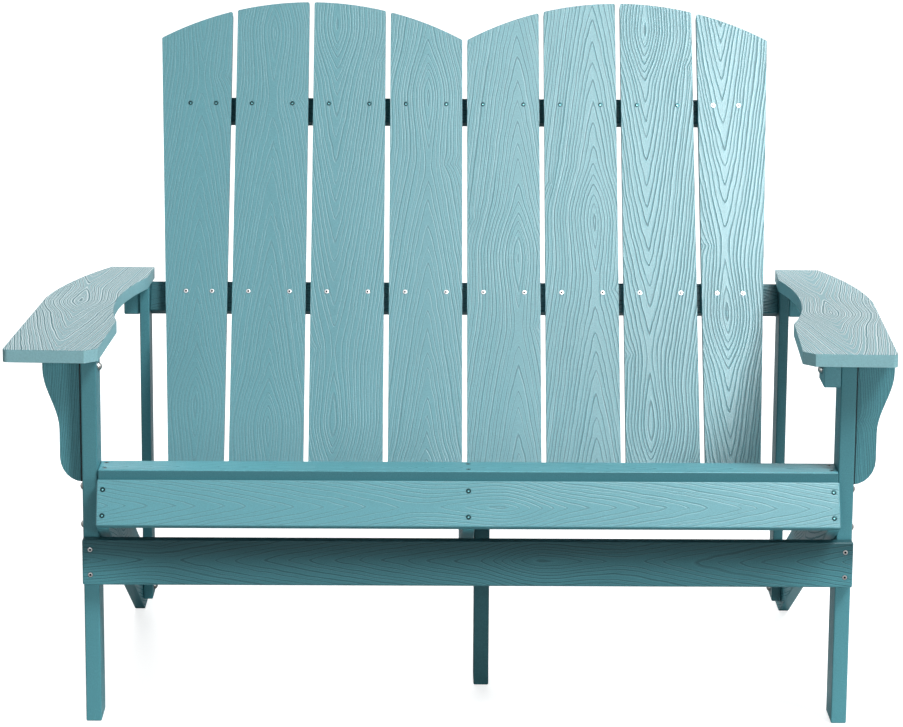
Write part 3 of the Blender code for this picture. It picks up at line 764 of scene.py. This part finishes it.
def add_camera():
    """The camera fitted to the photograph, placed from the front legs."""
    data = bpy.data.cameras.new("camera")
    data.sensor_width = SENSOR
    data.sensor_fit = "HORIZONTAL"
    data.lens = FOCAL_PX * SENSOR / PHOTO_W
    down, yaw, roll = (math.radians(a) for a in (CAMERA_DOWN, CAMERA_YAW, CAMERA_ROLL))
    ahead = Vector((math.sin(yaw) * math.cos(down), math.cos(yaw) * math.cos(down), -math.sin(down)))
    right = Vector((math.cos(yaw), -math.sin(yaw), 0))
    up = right.cross(ahead)
    right, up = math.cos(roll) * right + math.sin(roll) * up, math.cos(roll) * up - math.sin(roll) * right
    left_leg, right_leg = (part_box(f"front_leg_{side}") for side in ("left", "right"))
    start = Vector(((left_leg[0].x + right_leg[1].x) / 2, left_leg[0].y, 0))
    camera = bpy.data.objects.new("camera", data)
    camera.matrix_world = Matrix.Translation(start + Vector(CAMERA_PLACE)) @ axes(right, up, -ahead)
    bpy.context.scene.collection.objects.link(camera)
    bpy.context.scene.camera = camera


def add_soft_box(name, place, target, size, power):
    """A rectangular lamp that points at its target."""
    data = bpy.data.lights.new(name, "AREA")
    data.shape = "RECTANGLE"
    data.size, data.size_y = size
    data.energy = power
    lamp = bpy.data.objects.new(name, data)
    lamp.location = place
    lamp.rotation_euler = (Vector(target) - Vector(place)).to_track_quat("-Z", "Y").to_euler()
    bpy.context.scene.collection.objects.link(lamp)
    return lamp


def add_floor():
    """A pale floor that keeps the bench's shadow and turns white away from it."""

    def plane(shape):
        bmesh.ops.create_grid(shape, x_segments=1, y_segments=1, size=FLOOR_REACH)

    floor = mesh_object("floor", plane)
    material, shader, n = new_material("floor")
    away = n.node("ShaderNodeVectorMath", operation="LENGTH")
    n.feed(away.inputs[0], n.node("ShaderNodeTexCoord").outputs["Object"])
    pale = n.smooth_step(away.outputs["Value"], FLOOR_NEAR, FLOOR_FAR, FLOOR_PALE, FLOOR_DIM)
    n.feed(shader.inputs["Base Color"], pale)
    seen = n.node("ShaderNodeLightPath").outputs
    glow = n.node("ShaderNodeEmission")
    lift = n.smooth_step(away.outputs["Value"], FLOOR_NEAR, FLOOR_FAR, FLOOR_GLOW, 1.0)
    n.feed(glow.inputs["Strength"], n.mul(seen["Is Camera Ray"], lift))
    both = n.node("ShaderNodeAddShader")
    n.feed(both.inputs[0], shader.outputs[0])
    n.feed(both.inputs[1], glow.outputs[0])
    n.feed(material.node_tree.nodes["Material Output"].inputs["Surface"], both.outputs[0])
    floor.data.materials.append(material)


def add_world():
    """White surroundings, which show fully to the camera and in reflections and hardly light the bench."""
    world = bpy.data.worlds.new("studio")
    world.use_nodes = True
    n = Nodes(world.node_tree)
    seen = n.node("ShaderNodeLightPath").outputs
    reflected = n.math("MAXIMUM", seen["Is Glossy Ray"], seen["Is Transmission Ray"])
    shown = n.math("MAXIMUM", seen["Is Camera Ray"], reflected)
    strength = n.add(n.mul(shown, 1.0 - WORLD_LIGHT), WORLD_LIGHT)
    background = world.node_tree.nodes["Background"]
    background.inputs["Color"].default_value = (1.0, 1.0, 1.0, 1.0)
    n.feed(background.inputs["Strength"], strength)
    bpy.context.scene.world = world


def add_lamps():
    """The soft boxes, the lamp behind the bench and the cards."""
    for lamp in SOFT_BOXES:
        add_soft_box(*lamp)
    add_soft_box(*BACK_LIGHT).visible_glossy = False
    for lamp in CARDS:
        card = add_soft_box(*lamp)
        card.visible_camera = False
        card.visible_diffuse = False


def paint(obj, material):
    """Gives the object this material alone."""
    obj.data.materials.clear()
    obj.data.materials.append(material)


def main():
    add_camera()
    add_world()
    add_floor()
    add_lamps()
    screws = {}
    for node, points in screw_places().items():
        turn = turn_of(node)
        screws[node] = [Matrix.Translation(turn @ point) @ turn for point in points]
    slots = {row["node"]: row["material_slot"] for row in frame["record"]["subparts"]}
    group = grain_group()
    for number, node in enumerate(sorted(frame["nodes"])):
        if slots[node] == "steel":
            paint(frame["nodes"][node], steel("steel " + node, MIDDLE))
        else:
            paint(dressed_board(node, screws.get(node)), lumber(node, turn_of(node), group, number))
    add_screws(screws)
    bpy.context.scene.view_settings.view_transform = "Standard"


main()
